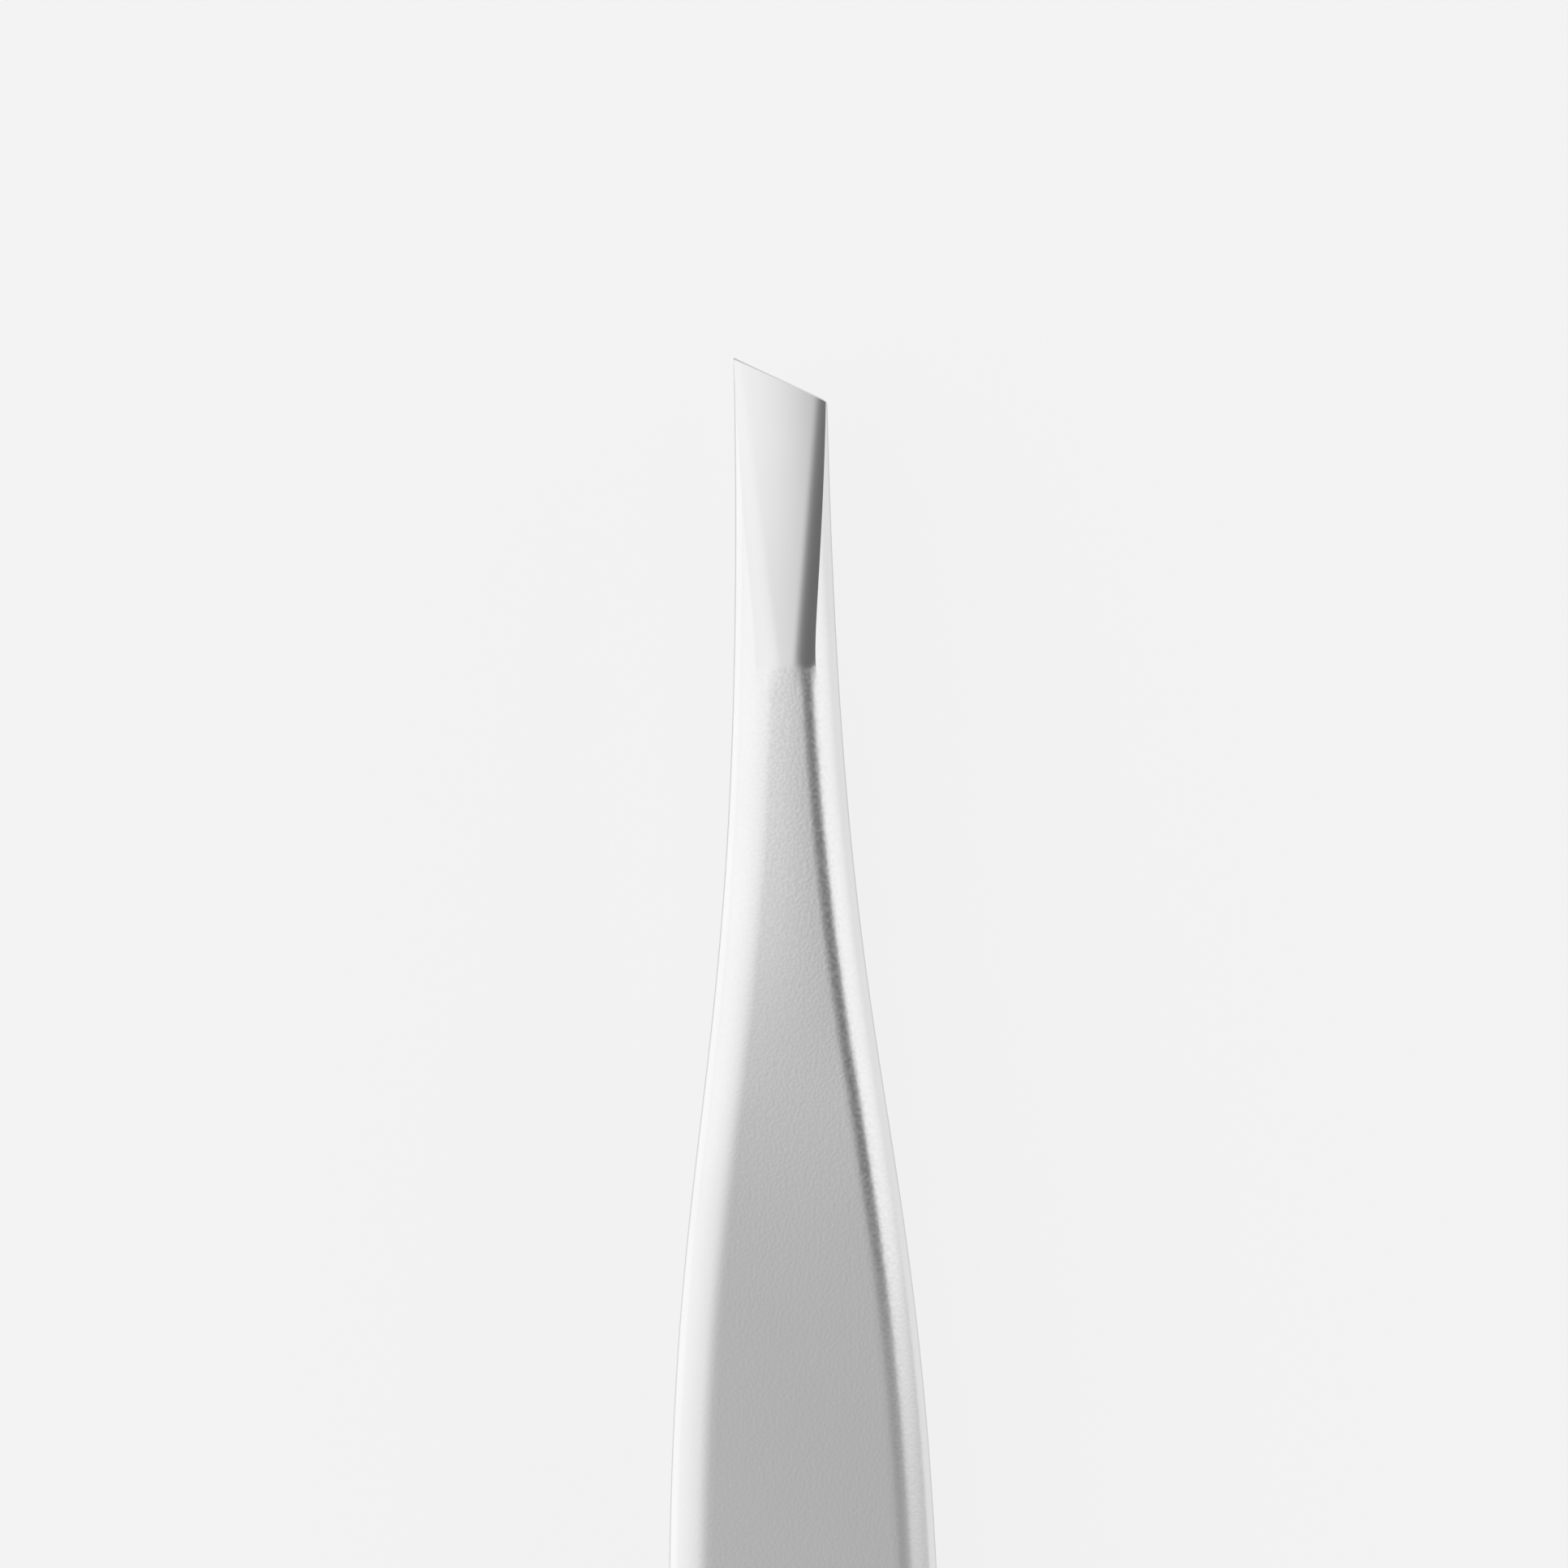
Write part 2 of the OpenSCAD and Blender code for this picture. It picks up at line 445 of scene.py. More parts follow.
@dataclass
class Layout:
    """Where the mid-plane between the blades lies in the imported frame.

    Attributes:
        heel: the point on the mid-plane at the heel's end, in metres.
        along: the direction from the heel to the tips.
        normal: the direction from the lower blade to the upper one.
    """

    heel: Vector
    along: Vector
    normal: Vector

    @classmethod
    def from_joints(cls, joints: list[dict], form: BladeForm) -> "Layout":
        """Read the mid-plane from the two flexing axes, which lie evenly on either side of it.

        Args:
            joints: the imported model's joints.
            form: the blade's sizes.

        Returns:
            The layout.
        """
        place = {j["name"]: Vector(j["pos_m"]) for j in joints}
        upper, lower = place["upper_flex"], place["lower_flex"]
        normal = (upper - lower).normalized()
        along = Vector((normal.z, 0.0, -normal.x))
        heel = (upper + lower) / 2 - along * form.flex_x * MM
        return cls(heel, along, normal)

    def point(self, x: float, y: float, z: float) -> Vector:
        """Return the frame's point for blade millimetres x, y, z."""
        across = Vector((0.0, y * MM, 0.0))
        return self.heel + self.along * (x * MM) + across + self.normal * (z * MM)

    def matrix(self, side: Side) -> Matrix:
        """Return the matrix that carries blade millimetres to the frame, for one blade."""
        axes = (self.along, Vector((0.0, 1.0, 0.0)), self.normal * side.value)
        turned = Matrix(axes).transposed()
        return Matrix.Translation(self.heel) @ (turned * MM).to_4x4()


class NodeKit:
    """Adds nodes to one node tree and links them.

    Attributes:
        tree: the node tree.
    """

    def __init__(self, tree: bpy.types.NodeTree) -> None:
        """Keep the tree that the nodes go into."""
        self.tree = tree

    def add(self, kind: str) -> bpy.types.Node:
        """Add a node of a kind and return it."""
        return self.tree.nodes.new(kind)

    def feed(self, value: Feed, socket: bpy.types.NodeSocket) -> None:
        """Link a value to a socket, or set it there if it is a constant.

        Args:
            value: another node's output, or a constant.
            socket: the input that takes it.
        """
        if isinstance(value, bpy.types.NodeSocket):
            self.tree.links.new(value, socket)
        else:
            socket.default_value = value

    def compute(self, operation: str, *values: Feed) -> bpy.types.NodeSocket:
        """Work something out from one or two values.

        Args:
            operation: the Math node's operation.
            values: its inputs, in order.

        Returns:
            The result.
        """
        node = self.add("ShaderNodeMath")
        node.operation = operation
        for value, socket in zip(values, node.inputs):
            self.feed(value, socket)
        return node.outputs["Value"]

    def spread(
        self, value: Feed, source: tuple[float, float], target: tuple[float, float] = (0.0, 1.0)
    ) -> bpy.types.NodeSocket:
        """Carry a value from one range to another, and hold it there.

        Args:
            value: the value.
            source: the range that it comes from.
            target: the range that it goes to.

        Returns:
            The value in its new range.
        """
        node = self.add("ShaderNodeMapRange")
        names = ("From Min", "From Max", "To Min", "To Max")
        for name, number in zip(names, (*source, *target), strict=True):
            node.inputs[name].default_value = number
        self.feed(value, node.inputs["Value"])
        return node.outputs["Result"]

    def mixed(self, share: Feed, a: Feed, b: Feed) -> bpy.types.NodeSocket:
        """Mix two numbers.

        Args:
            share: how far from the first to the second.
            a: the first number.
            b: the second number.

        Returns:
            The mixed number.
        """
        node = self.add("ShaderNodeMix")
        node.data_type = "FLOAT"
        for value, name in ((share, "Factor"), (a, "A"), (b, "B")):
            self.feed(value, node.inputs[name])
        return node.outputs["Result"]

    def colours(self, share: Feed, a: Colour, b: Colour) -> bpy.types.NodeSocket:
        """Mix two colours.

        Args:
            share: how far from the first to the second.
            a: the first colour.
            b: the second colour.

        Returns:
            The mixed colour.
        """
        node = self.add("ShaderNodeMix")
        node.data_type = "RGBA"
        self.feed(share, node.inputs["Factor"])
        node.inputs["A"].default_value = (*a, 1.0)
        node.inputs["B"].default_value = (*b, 1.0)
        return node.outputs["Result"]

    def noise(self, size_mm: float, detail: float) -> bpy.types.NodeSocket:
        """Add a noise pattern on the piece's own axes.

        Args:
            size_mm: size of its grains.
            detail: number of finer layers.

        Returns:
            The pattern, from 0 to 1.
        """
        node = self.add("ShaderNodeTexNoise")
        node.inputs["Scale"].default_value = 1.0 / (size_mm * MM)
        node.inputs["Detail"].default_value = detail
        node.inputs["Roughness"].default_value = 0.5
        self.tree.links.new(self.add("ShaderNodeTexCoord").outputs["Object"], node.inputs["Vector"])
        return node.outputs["Fac"]

    def bump(self, height: Feed, depth_mm: float, strength: Feed, shader: bpy.types.Node) -> None:
        """Give a shader a bump.

        Args:
            height: the bump's pattern.
            depth_mm: its depth.
            strength: how much of it shows.
            shader: the shader that takes it.
        """
        node = self.add("ShaderNodeBump")
        node.inputs["Distance"].default_value = depth_mm * MM
        self.feed(strength, node.inputs["Strength"])
        self.feed(height, node.inputs["Height"])
        self.feed(node.outputs["Normal"], shader.inputs["Normal"])


def metal(name: str) -> tuple[bpy.types.Material, NodeKit, bpy.types.Node]:
    """Make a plain metal to build a finish on.

    Args:
        name: the material's name.

    Returns:
        The material, a kit for its nodes, and its shader.
    """
    mat = bpy.data.materials.new(name)
    mat.use_nodes = True
    shader = mat.node_tree.nodes["Principled BSDF"]
    shader.inputs["Metallic"].default_value = 1.0
    return mat, NodeKit(mat.node_tree), shader


@dataclass(frozen=True)
class SatinSteel:
    """Blasted stainless steel, with ground and polished facets where the polish attribute is 1.

    Attributes:
        name: the material's name.
        base: linear reflectance of the blasted face.
        base_spread: how much darker and lighter the reflectance drifts, as shares.
        cloud_mm: size of that drift's clouds.
        facet_shade: the ground facet's reflectance as a share of the blasted face's.
        body_rough: roughness of the blasted face.
        facet_rough: roughness of the ground facet.
        speckle: how far the grain moves the blasted face's roughness.
        grain_range: the grain pattern's values at which it moves it fully.
        grain_mm: size of the blasting's grain.
        grain_height: depth of the grain's bump, in millimetres.
        facet_grain: share of the bump that is left on the ground facet.
    """

    name: str = "satin_steel"
    base: Colour = (0.757, 0.757, 0.757)
    base_spread: tuple[float, float] = (0.96, 1.03)
    cloud_mm: float = 6.0
    facet_shade: float = 0.95
    body_rough: float = 0.24
    facet_rough: float = 0.15
    speckle: float = 0.03
    grain_range: tuple[float, float] = (0.3, 0.7)
    grain_mm: float = 0.11
    grain_height: float = 0.0016
    facet_grain: float = 0.06

    def make(self) -> bpy.types.Material:
        """Build the material.

        Returns:
            The material.
        """
        mat, kit, shader = metal(self.name)
        attribute = kit.add("ShaderNodeAttribute")
        attribute.attribute_name = POLISH_ATTRIBUTE
        polish = attribute.outputs["Fac"]
        grain = kit.noise(self.grain_mm, detail=0.0)

        dark, light = (tuple(c * share for c in self.base) for share in self.base_spread)
        cloud = kit.noise(self.cloud_mm, detail=2.0)
        scaled = kit.add("ShaderNodeVectorMath")
        scaled.operation = "SCALE"
        kit.feed(kit.colours(cloud, dark, light), scaled.inputs["Vector"])
        kit.feed(kit.spread(polish, (0.0, 1.0), (1.0, self.facet_shade)), scaled.inputs["Scale"])
        kit.feed(scaled.outputs["Vector"], shader.inputs["Base Color"])

        speckle = kit.spread(grain, self.grain_range, (-self.speckle, self.speckle))
        body = kit.compute("ADD", speckle, self.body_rough)
        kit.feed(kit.mixed(polish, body, self.facet_rough), shader.inputs["Roughness"])
        strength = kit.spread(polish, (0.0, 1.0), (1.0, self.facet_grain))
        kit.bump(grain, self.grain_height, strength, shader)
        return mat


@dataclass(frozen=True)
class WeldSteel:
    """Fused steel of a resistance weld: heat-tinted, with fine solidification rings.

    Attributes:
        name: the material's name.
        bright: linear reflectance of the clean metal.
        tinted: linear reflectance where the heat has tinted it.
        tint_mm: size of the tint's clouds.
        rough: least and greatest roughness.
        ring_mm: spacing of the rings.
        ring_scale: the wave texture's scale for rings one metre apart.
        ring_height: depth of the rings' bump, in millimetres.
    """

    name: str = "weld_steel"
    bright: Colour = (0.6, 0.59, 0.57)
    tinted: Colour = (0.42, 0.36, 0.3)
    tint_mm: float = 0.8
    rough: tuple[float, float] = (0.3, 0.54)
    ring_mm: float = 0.25
    ring_scale: float = 0.314
    ring_height: float = 0.01

    def make(self) -> bpy.types.Material:
        """Build the material.

        Returns:
            The material.
        """
        mat, kit, shader = metal(self.name)
        cloud = kit.noise(self.tint_mm, detail=3.0)
        kit.feed(kit.colours(cloud, self.tinted, self.bright), shader.inputs["Base Color"])
        kit.feed(kit.spread(cloud, (0.0, 1.0), self.rough), shader.inputs["Roughness"])
        rings = kit.add("ShaderNodeTexWave")
        rings.wave_type = "RINGS"
        rings.rings_direction = "Z"
        rings.inputs["Scale"].default_value = self.ring_scale / (self.ring_mm * MM)
        rings.inputs["Distortion"].default_value = 2.5
        rings.inputs["Detail"].default_value = 2.0
        kit.feed(kit.add("ShaderNodeTexCoord").outputs["Object"], rings.inputs["Vector"])
        kit.bump(rings.outputs["Fac"], self.ring_height, 1.0, shader)
        return mat


@dataclass
class Blade:
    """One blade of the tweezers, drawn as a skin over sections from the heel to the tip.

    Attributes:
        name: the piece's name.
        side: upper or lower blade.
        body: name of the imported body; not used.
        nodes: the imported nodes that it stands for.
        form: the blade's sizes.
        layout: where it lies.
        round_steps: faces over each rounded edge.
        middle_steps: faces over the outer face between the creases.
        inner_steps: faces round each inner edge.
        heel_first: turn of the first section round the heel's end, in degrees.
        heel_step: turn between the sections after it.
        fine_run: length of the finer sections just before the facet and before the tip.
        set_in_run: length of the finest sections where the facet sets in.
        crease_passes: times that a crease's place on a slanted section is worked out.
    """

    name: str
    side: Side
    body: str
    nodes: tuple[str, ...]
    form: BladeForm
    layout: Layout
    round_steps: int = 16
    middle_steps: int = 32
    inner_steps: int = 4
    heel_first: int = 1
    heel_step: int = 3
    fine_run: float = 1.0
    set_in_run: float = 2.0
    crease_passes: int = 4

    def stations(self) -> list[float]:
        """Place the sections, closer together where the shape turns.

        Returns:
            Their distances from the heel.
        """
        form = self.form
        # Each stop begins a span and gives the distance between its sections; the last ends them.
        stops = (
            (form.heel_round, 0.5),
            (form.heel_contact, 0.4),
            (form.grip_start, 0.5),
            (form.grip_end, 0.35),
            (form.facet_x - self.fine_run, 0.1),
            (form.facet_x, 0.075),
            (form.facet_x + self.set_in_run, 0.15),
            (form.length - self.fine_run, 0.05),
            (form.bevel_x, 0.03),
            (form.length, 0.0),
        )
        turns = (self.heel_first, *range(self.heel_step, 90, self.heel_step))
        found = [form.heel_round * (1 - math.cos(math.radians(turn))) for turn in turns]
        for (low, step), (high, _) in zip(stops, stops[1:]):
            count = round((high - low) / step)
            found += [low + (high - low) * i / count for i in range(count)]
        return [*found, form.length]

    def side_places(self, s: float, sign: int) -> tuple[list[float], float]:
        """Work out one side of a section's outer face.

        Args:
            s: the section's distance from the heel at its +Y side.
            sign: 1 for the +Y side, -1 for the -Y side.

        Returns:
            The distances from the middle of the points on the rounded edge, from the outside in,
            and that of the crease.
        """
        form = self.form
        x = self.slanted(s, sign * form.half_width(s))
        half, width = form.half_width(x), form.edge_round(x)
        crease = form.crease_y(s)
        for _ in range(self.crease_passes):
            crease = form.crease_y(self.slanted(s, sign * crease))
        low = math.asin(max(0.0, min(1.0, (crease - half + width) / width)))
        turned = [mix(math.pi / 2, low, i / self.round_steps) for i in range(self.round_steps)]
        return [half - width * (1 - math.sin(a)) for a in turned], crease

    def across(self, s: float) -> list[float]:
        """Work out where a section's points lie across the outer face.

        Args:
            s: the section's distance from the heel at its +Y side.

        Returns:
            Their distances from the middle, from +Y to -Y.
        """
        left, left_crease = self.side_places(s, 1)
        right, right_crease = self.side_places(s, -1)
        steps = self.middle_steps
        middle = [mix(left_crease, -right_crease, i / steps) for i in range(steps + 1)]
        return [*left, *middle, *[-y for y in reversed(right)]]

    def slanted(self, s: float, y: float) -> float:
        """Work out how far from the heel a section's point lies, slanted near the tip.

        Args:
            s: the section's distance from the heel at its +Y side.
            y: the point's distance from the middle.

        Returns:
            The point's distance from the heel.
        """
        form = self.form
        turn = ramp(s, form.length - form.slant_run, form.length)
        tip_half = form.tip_width / 2
        y_tip = max(-tip_half, min(tip_half, y * tip_half / max(form.half_width(s), tip_half)))
        slant = (y_tip - tip_half) * math.tan(math.radians(form.slant_angle))
        corner = form.corner_drop(y_tip) * ramp(s, form.length - form.corner_run, form.length) ** 2
        return s + turn * slant - corner

    def section(self, s: float) -> list[Vector]:
        """Work out one section.

        Args:
            s: the section's distance from the heel at its +Y side.

        Returns:
            Its points, over the outer face from +Y to -Y and back along the inner face.
        """
        form = self.form
        outer, inner = [], []
        tip_drop = max(0.0, s - form.length + form.tip_bevel) * form.tip_bevel_slope
        side = form.top_z(s, form.half_width(s)) - tip_drop - form.inner_z(s)
        corner = min(form.inner_round, form.half_width(s) / 2, side / 2)
        for y in self.across(s):
            x = self.slanted(s, y)
            outer.append(Vector((x, y, form.top_z(x, y) - tip_drop)))
            shrunk = y * (1 - corner / form.half_width(s))
            inner.append(Vector((x, shrunk, form.inner_z(x))))
        right = self.inner_edge(outer[-1], inner[-1], corner, -1)
        left = self.inner_edge(outer[0], inner[0], corner, 1)
        return [*outer, *right, *reversed(inner), *reversed(left)]

    def inner_edge(self, outer: Vector, inner: Vector, radius: float, sign: int) -> list[Vector]:
        """Work out the points of a rounded inner edge, from the side down to the inner face.

        Args:
            outer: the section's outermost point on the outer face.
            inner: its outermost point on the inner face.
            radius: radius of the rounding.
            sign: 1 for the +Y side, -1 for the -Y side.

        Returns:
            The points.
        """
        points = []
        for i in range(self.inner_steps):
            a = math.pi / 2 * i / self.inner_steps
            y = inner.y + sign * radius * math.cos(a)
            points.append(Vector((outer.x, y, inner.z + radius * (1 - math.sin(a)))))
        return points

    def build(self) -> bpy.types.Object:
        """Draw the blade's skin.

        Returns:
            The blade's object.
        """
        bm = bmesh.new()
        polish = bm.verts.layers.float.new(POLISH_ATTRIBUTE)
        stations = self.stations()
        first = self.section(stations[0])
        ring = bmesh.ops.create_circle(bm, cap_ends=False, radius=1.0, segments=len(first))["verts"]
        self.shape(ring, first)
        rows = [ring]
        for s in stations[1:]:
            ring = self.next_ring(bm, ring)
            self.shape(ring, self.section(s))
            rows.append(ring)
        for row in (rows[0], rows[-1]):
            self.close(bm, row)
        self.mark_polish(rows, polish)
        bmesh.ops.recalc_face_normals(bm, faces=bm.faces)
        self.mark_creases(bm, rows, stations)
        bmesh.ops.transform(bm, matrix=self.layout.matrix(self.side), verts=bm.verts)
        if self.side is Side.LOWER:
            bmesh.ops.reverse_faces(bm, faces=bm.faces)
        mesh = bpy.data.meshes.new(self.name)
        bm.to_mesh(mesh)
        bm.free()
        piece = bpy.data.objects.new(self.name, mesh)
        bpy.context.scene.collection.objects.link(piece)
        return piece

    @staticmethod
    def shape(ring: Ring, points: list[Vector]) -> None:
        """Move a ring's vertices to a section's points."""
        for vert, point in zip(ring, points, strict=True):
            vert.co = point

    @staticmethod
    def next_ring(bm: bmesh.types.BMesh, ring: Ring) -> Ring:
        """Extrude a ring's edges.

        Args:
            bm: the skin's mesh.
            ring: the ring's vertices.

        Returns:
            The new ring's vertices, in the same order.
        """
        count = len(ring)
        edges = [bm.edges.get((ring[i], ring[(i + 1) % count])) for i in range(count)]
        made = bmesh.ops.extrude_edge_only(bm, edges=edges)["geom"]
        new = {v for v in made if isinstance(v, bmesh.types.BMVert)}
        return [next(e.other_vert(v) for e in v.link_edges if e.other_vert(v) in new) for v in ring]

    def close(self, bm: bmesh.types.BMesh, ring: Ring) -> None:
        """Close an end of the skin with a strip between its outer and inner faces.

        Args:
            bm: the skin's mesh.
            ring: the ring of vertices at that end.
        """
        outer = ring[: self.outer_count()]
        start = self.outer_count() + self.inner_steps
        inner = ring[start : start + self.outer_count()]
        chains = [
            bm.edges.get((chain[i], chain[i + 1]))
            for chain in (outer, inner)
            for i in range(len(chain) - 1)
        ]
        bmesh.ops.bridge_loops(bm, edges=chains)
        holes = [e for e in bm.edges if e.is_boundary and e.verts[0] in set(ring)]
        bmesh.ops.holes_fill(bm, edges=holes, sides=0)

    def outer_count(self) -> int:
        """Return the number of points across the outer face."""
        return 2 * self.round_steps + self.middle_steps + 1

    def mark_polish(self, rows: list[Ring], layer: bmesh.types.BMLayerItem) -> None:
        """Store how polished each vertex is: 1 on the ground facet and the jaw, 0 elsewhere.

        Args:
            rows: the skin's rings, from the heel to the tip.
            layer: the vertices' layer that takes it.
        """
        form = self.form
        facet = range(self.round_steps, self.round_steps + self.middle_steps + 1)
        jaw = range(self.outer_count() + self.inner_steps, len(rows[0]))
        for row in rows:
            for column in facet:
                x = row[column].co.x
                into = ramp(x, form.polish_x - form.polish_edge, form.polish_x + form.polish_edge)
                row[column][layer] = smooth(into)
            for column in jaw:
                x = row[column].co.x
                ground = form.inner_z(x) - form.outer_z(x) + form.thickness
                row[column][layer] = ramp(ground, 0.0, form.jaw_fade)

    def mark_creases(
        self, bm: bmesh.types.BMesh, rows: list[Ring], stations: list[float]
    ) -> None:
        """Smooth the skin, and keep the ground creases and the tip's rim sharp.

        Args:
            bm: the skin's mesh.
            rows: its rings, from the heel to the tip.
            stations: the rings' distances from the heel.
        """
        form = self.form
        for face in bm.faces:
            face.smooth = True
        left, right = self.round_steps, self.round_steps + self.middle_steps
        for i in range(len(rows) - 1):
            if stations[i] >= form.facet_x + form.crease_from:
                for column in (left, right):
                    self.sharpen(bm, rows[i][column], rows[i + 1][column])
        for row in (rows[0], rows[-1]):
            for i in range(len(row)):
                self.sharpen(bm, row[i], row[(i + 1) % len(row)])
        begin = stations.index(form.bevel_x)
        for i in range(begin, len(rows) - 1):
            for column in (0, self.outer_count() - 1):
                self.sharpen(bm, rows[i][column], rows[i + 1][column])
        bevel = rows[begin]
        for i in range(self.outer_count() - 1):
            self.sharpen(bm, bevel[i], bevel[i + 1])

    @staticmethod
    def sharpen(bm: bmesh.types.BMesh, a: bmesh.types.BMVert, b: bmesh.types.BMVert) -> None:
        """Keep the edge between two vertices sharp."""
        bm.edges.get((a, b)).smooth = False

    def dress(self, piece: bpy.types.Object, steel: bpy.types.Material) -> None:
        """Give the blade its steel, settle its transform and hide the imported nodes that it stands
        for.

        Args:
            piece: the blade's object.
            steel: its material.
        """
        form = self.form
        piece.data.materials.append(steel)
        height = self.side.value * form.outer_z(form.flex_x)
        self.layout.point(form.heel_contact, 0.0, height)
        self.layout.point(form.grip_start, 0.0, height)
        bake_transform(piece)
        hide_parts(*self.nodes)


@dataclass(frozen=True)
class Tent:
    """A soft tent of light round the scene: bright at the left, with a dark gap at the right.

    Angles are in degrees from straight up, across the tent (positive to the left, +Y) or along it
    (positive towards the tips, +X). Each table pairs angles with brightness.

    Attributes:
        across: brightness across the tent.
        along: brightness along the middle of the tent.
        along_until: angles across at which the middle begins and has quite given way.
        ends: how the tent darkens towards both its ends, by the tilt out of its middle slice.
        widen_from: angles along between which the bright left-hand panel is set further aside.
        widen_share: how far aside it is set at most.
        close_across: angles across between which the dark gap closes at the heel's end.
        close_along: angles along between which it closes.
        closed: brightness of the closed gap.
        seen: brightness that the camera sees directly.
        brightest: the greatest brightness that a table may hold.
    """

    across: Table = (
        (-180, 0.6),
        (-100, 0.92),
        (-90, 0.97),
        (-82, 1.04),
        (-72, 1.13),
        (-58, 1.2),
        (-31, 1.26),
        (-29, 0.16),
        (-15, 0.17),
        (-9, 0.21),
        (-5, 0.43),
        (-2, 0.79),
        (1, 0.93),
        (3, 0.98),
        (14, 1.12),
        (30, 1.22),
        (60, 1.24),
        (80, 1.22),
        (90, 1.15),
        (100, 1.0),
        (110, 0.9),
        (150, 0.8),
        (180, 0.6),
    )
    along: Table = (
        (-180, 0.7),
        (-13, 0.7),
        (-11.5, 0.73),
        (-6, 0.885),
        (-3.5, 0.94),
        (-2, 1.0),
        (0, 1.17),
        (3, 1.2),
        (6, 1.12),
        (9, 1.16),
        (18, 1.27),
        (180, 1.28),
    )
    along_until: tuple[float, float] = (5.0, 25.0)
    ends: Table = (
        (-180, 0.5),
        (-50, 0.5),
        (-36, 0.6),
        (-20, 1.0),
        (22, 1.0),
        (36, 0.62),
        (50, 0.52),
        (180, 0.5),
    )
    widen_from: tuple[float, float] = (2.5, -4.5)
    widen_share: float = 0.74
    close_across: tuple[float, float] = (0.0, -6.0)
    close_along: tuple[float, float] = (-12.5, -17.0)
    closed: float = 0.66
    seen: float = 0.905
    brightest: float = 4.0

    def build(self) -> None:
        """Make the world's nodes."""
        world = bpy.data.worlds.new("tent")
        bpy.context.scene.world = world
        world.use_nodes = True
        kit = NodeKit(world.node_tree)
        parts = kit.add("ShaderNodeSeparateXYZ")
        kit.feed(kit.add("ShaderNodeTexCoord").outputs["Generated"], parts.inputs["Vector"])
        side = kit.compute("ARCTAN2", parts.outputs["Y"], parts.outputs["Z"])
        front = kit.compute("ARCTAN2", parts.outputs["X"], parts.outputs["Z"])

        panels = self.curve(kit, self.widened(kit, side, front), self.across)
        away = kit.spread(kit.compute("ABSOLUTE", side), radians(self.along_until))
        middle = kit.mixed(away, self.curve(kit, front, self.along), 1.0)
        total = kit.compute("MULTIPLY", self.gap_closed(kit, panels, side, front), middle)
        tilt = kit.compute("ARCSINE", parts.outputs["X"])
        strength = kit.compute("MULTIPLY", total, self.curve(kit, tilt, self.ends))

        nodes = world.node_tree.nodes
        kit.feed(strength, nodes["Background"].inputs["Strength"])
        nodes["Background"].inputs["Color"].default_value = grey(1.0)
        plain = kit.add("ShaderNodeBackground")
        plain.inputs["Color"].default_value = grey(self.seen)
        pick = kit.add("ShaderNodeMixShader")
        kit.feed(kit.add("ShaderNodeLightPath").outputs["Is Camera Ray"], pick.inputs["Fac"])
        kit.feed(nodes["Background"].outputs["Background"], pick.inputs[1])
        kit.feed(plain.outputs["Background"], pick.inputs[2])
        kit.feed(pick.outputs["Shader"], nodes["World Output"].inputs["Surface"])

    def widened(
        self, kit: NodeKit, side: bpy.types.NodeSocket, front: bpy.types.NodeSocket
    ) -> bpy.types.NodeSocket:
        """Set the bright left-hand panel further aside towards the heel's end of the tent.

        Args:
            kit: the world's nodes.
            side: the direction's angle across the tent.
            front: the direction's angle along the tent.

        Returns:
            The angle across the tent at which its brightness is read.
        """
        share = kit.spread(front, radians(self.widen_from), (0.0, self.widen_share))
        pulled = kit.compute("MULTIPLY", kit.compute("MAXIMUM", side, 0.0), share)
        return kit.compute("SUBTRACT", side, pulled)

    def gap_closed(
        self,
        kit: NodeKit,
        value: bpy.types.NodeSocket,
        side: bpy.types.NodeSocket,
        front: bpy.types.NodeSocket,
    ) -> bpy.types.NodeSocket:
        """Close the dark gap towards the heel's end of the tent.

        Args:
            kit: the world's nodes.
            value: the tent's brightness across it.
            side: the direction's angle across the tent.
            front: the direction's angle along the tent.

        Returns:
            The brightness, evened out at the right-hand far end.
        """
        right = kit.spread(side, radians(self.close_across))
        rear = kit.spread(front, radians(self.close_along))
        return kit.mixed(kit.compute("MULTIPLY", right, rear), value, self.closed)

    def curve(
        self, kit: NodeKit, angle: bpy.types.NodeSocket, table: Table
    ) -> bpy.types.NodeSocket:
        """Make a brightness that follows an angle.

        Args:
            kit: the world's nodes.
            angle: the angle, in radians.
            table: pairs of an angle in degrees and the brightness there.

        Returns:
            The brightness.
        """
        node = kit.add("ShaderNodeFloatCurve")
        kit.feed(kit.spread(angle, (-math.pi, math.pi)), node.inputs["Value"])
        points = node.mapping.curves[0].points
        node.mapping.clip_max_y = self.brightest
        places = [((degrees + 180) / 360, value) for degrees, value in table]
        points[0].location, points[-1].location = places[0], places[-1]
        for place in places[1:-1]:
            points.new(*place)
        for point in points:
            point.handle_type = "VECTOR"
        node.mapping.update()
        return node.outputs["Value"]


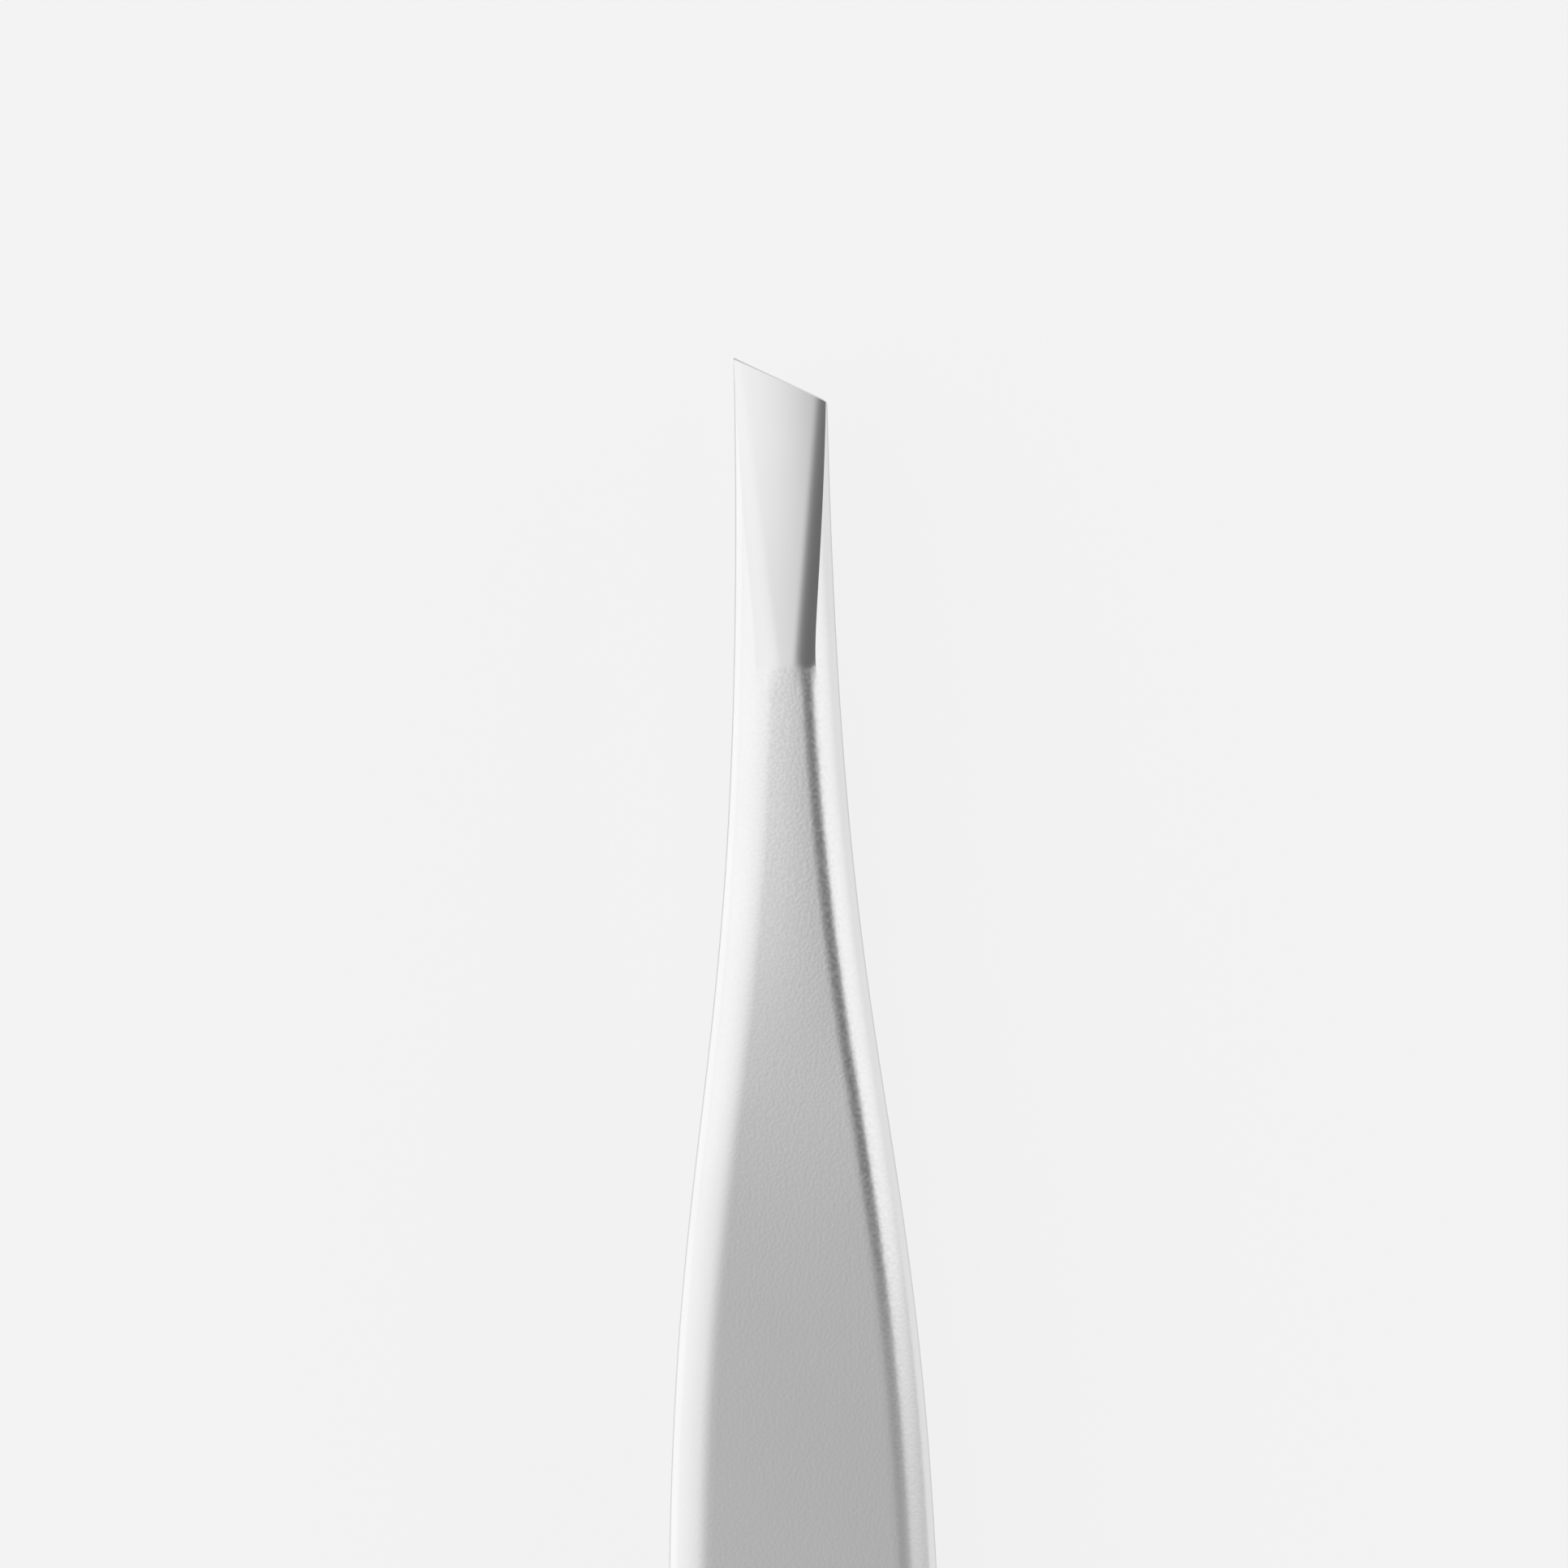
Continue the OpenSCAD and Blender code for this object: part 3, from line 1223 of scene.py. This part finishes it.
@dataclass
class Studio:
    """Camera, floor and light.

    Attributes:
        form: the blade's sizes.
        layout: where the blades lie.
        view_mm: height and width of the view on the upper blade.
        aim_from_tip: distance of the view's middle behind the tip's long point.
        aim_across: distance of the view's middle from the blade's middle, towards +Y.
        lean: how far the blade leans over in the view, in degrees.
        lens: focal length.
        sensor: width of the sensor.
        clip: nearest and farthest distances that the camera sees, in metres.
        floor_size: half the floor's width, in metres.
        floor_drop: how far the floor lies below the blades, in millimetres.
        floor_base: the floor's own reflectance.
        floor_seen: the floor's glow as the camera sees it.
        painted_floor_glow: the floor's glow as the steel reflects it, at its right and at its left;
            painted light, brighter at the left.
        painted_shadow_glow: the floor's glow close to the blades, lowered there as a painted shadow
            of the blades.
        glow_side: distance from the middle at which the glow is fully right or left.
        painted_shadow_fade: distances from the middle at which the painted shadow begins to fade
            and is gone.
    """

    form: BladeForm
    layout: Layout
    view_mm: float = 56.2
    aim_from_tip: float = 15.4
    aim_across: float = 0.145
    lean: float = 1.08
    lens: float = 180.0
    sensor: float = 36.0
    clip: tuple[float, float] = (0.01, 10.0)
    floor_size: float = 1.5
    floor_drop: float = 0.02
    floor_base: float = 0.1
    floor_seen: float = 0.82
    painted_floor_glow: tuple[float, float] = (0.9, 1.18)
    painted_shadow_glow: float = 0.6
    glow_side: float = 8.0
    painted_shadow_fade: tuple[float, float] = (8.0, 14.0)

    def camera(self) -> None:
        """Place the camera square to the plane between the blades, over the upper one."""
        data = bpy.data.cameras.new("camera")
        data.lens = self.lens
        data.sensor_width = self.sensor
        cam = bpy.data.objects.new("camera", data)
        bpy.context.scene.collection.objects.link(cam)
        bpy.context.scene.camera = cam
        x = self.form.length - self.aim_from_tip
        aim = self.layout.point(x, self.aim_across, self.form.outer_z(x))
        distance = self.view_mm * MM * self.lens / self.sensor
        cam.location = aim + self.layout.normal * distance
        up = Matrix.Rotation(math.radians(-self.lean), 3, self.layout.normal) @ self.layout.along
        right = up.cross(self.layout.normal)
        turned = Matrix((right, up, self.layout.normal)).transposed()
        cam.rotation_euler = turned.to_euler()
        data.clip_start, data.clip_end = self.clip

    def floor(self) -> None:
        """Lay a pale floor that glows softly, so that shadows on it stay faint. The camera sees it
        evenly bright; the glow that the steel reflects is painted light, brighter at the left and
        darker near the blades as a painted shadow.
        """
        bm = bmesh.new()
        bmesh.ops.create_grid(bm, x_segments=1, y_segments=1, size=self.floor_size)
        bmesh.ops.translate(bm, vec=(0.0, 0.0, -self.floor_drop * MM), verts=bm.verts)
        mesh = bpy.data.meshes.new("floor")
        bm.to_mesh(mesh)
        bm.free()
        floor = bpy.data.objects.new("floor", mesh)
        bpy.context.scene.collection.objects.link(floor)
        mat = bpy.data.materials.new("pale_floor")
        mat.use_nodes = True
        shader = mat.node_tree.nodes["Principled BSDF"]
        shader.inputs["Base Color"].default_value = grey(self.floor_base)
        shader.inputs["Roughness"].default_value = 1.0
        shader.inputs["Specular IOR Level"].default_value = 0.0
        shader.inputs["Emission Color"].default_value = grey(1.0)
        kit = NodeKit(mat.node_tree)
        parts = kit.add("ShaderNodeSeparateXYZ")
        kit.feed(kit.add("ShaderNodeTexCoord").outputs["Object"], parts.inputs["Vector"])
        across = parts.outputs["Y"]
        # Painted light and shadow in the glow that the steel reflects: brighter at the left, and
        # darker near the blades as a painted shadow of them.
        glow = kit.spread(across, (-self.glow_side * MM, self.glow_side * MM), self.painted_floor_glow)
        near, far = self.painted_shadow_fade
        clear = kit.spread(kit.compute("ABSOLUTE", across), (near * MM, far * MM))
        painted_glow = kit.mixed(clear, self.painted_shadow_glow, glow)
        # The camera sees the floor evenly bright; only reflections see the painted glow and painted
        # shadow.
        seen = kit.add("ShaderNodeLightPath").outputs["Is Camera Ray"]
        kit.feed(kit.mixed(seen, painted_glow, self.floor_seen), shader.inputs["Emission Strength"])
        mesh.materials.append(mat)

    def build(self) -> None:
        """Set up the camera, the floor and the light."""
        self.camera()
        self.floor()
        Tent().build()
        bpy.context.scene.view_settings.view_transform = "Standard"


def main() -> None:
    """Build the tweezers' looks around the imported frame."""
    logging.basicConfig(level=logging.INFO, format="%(name)s: %(message)s")
    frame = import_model()
    form = BladeForm()
    layout = Layout.from_joints(frame["joints"], form)
    Studio(form, layout).build()
    steel = SatinSteel().make()
    upper, lower = ("upper_arm", "upper_heel"), ("lower_arm", "lower_heel")
    blades = (
        Blade("upper_blade_steel", Side.UPPER, "upper_blade", upper, form, layout),
        Blade("lower_blade_steel", Side.LOWER, "lower_blade", lower, form, layout),
    )
    for blade in blades:
        piece = blade.build()
        blade.dress(piece, steel)
        LOG.info("%s: %d faces", piece.name, len(piece.data.polygons))
    nuggets = frame["nodes"]["weld_nuggets"]
    nuggets.data.materials.clear()
    nuggets.data.materials.append(WeldSteel().make())
    LOG.info("%s: %d faces", nuggets.name, len(nuggets.data.polygons))


if __name__ == "__main__":
    main()
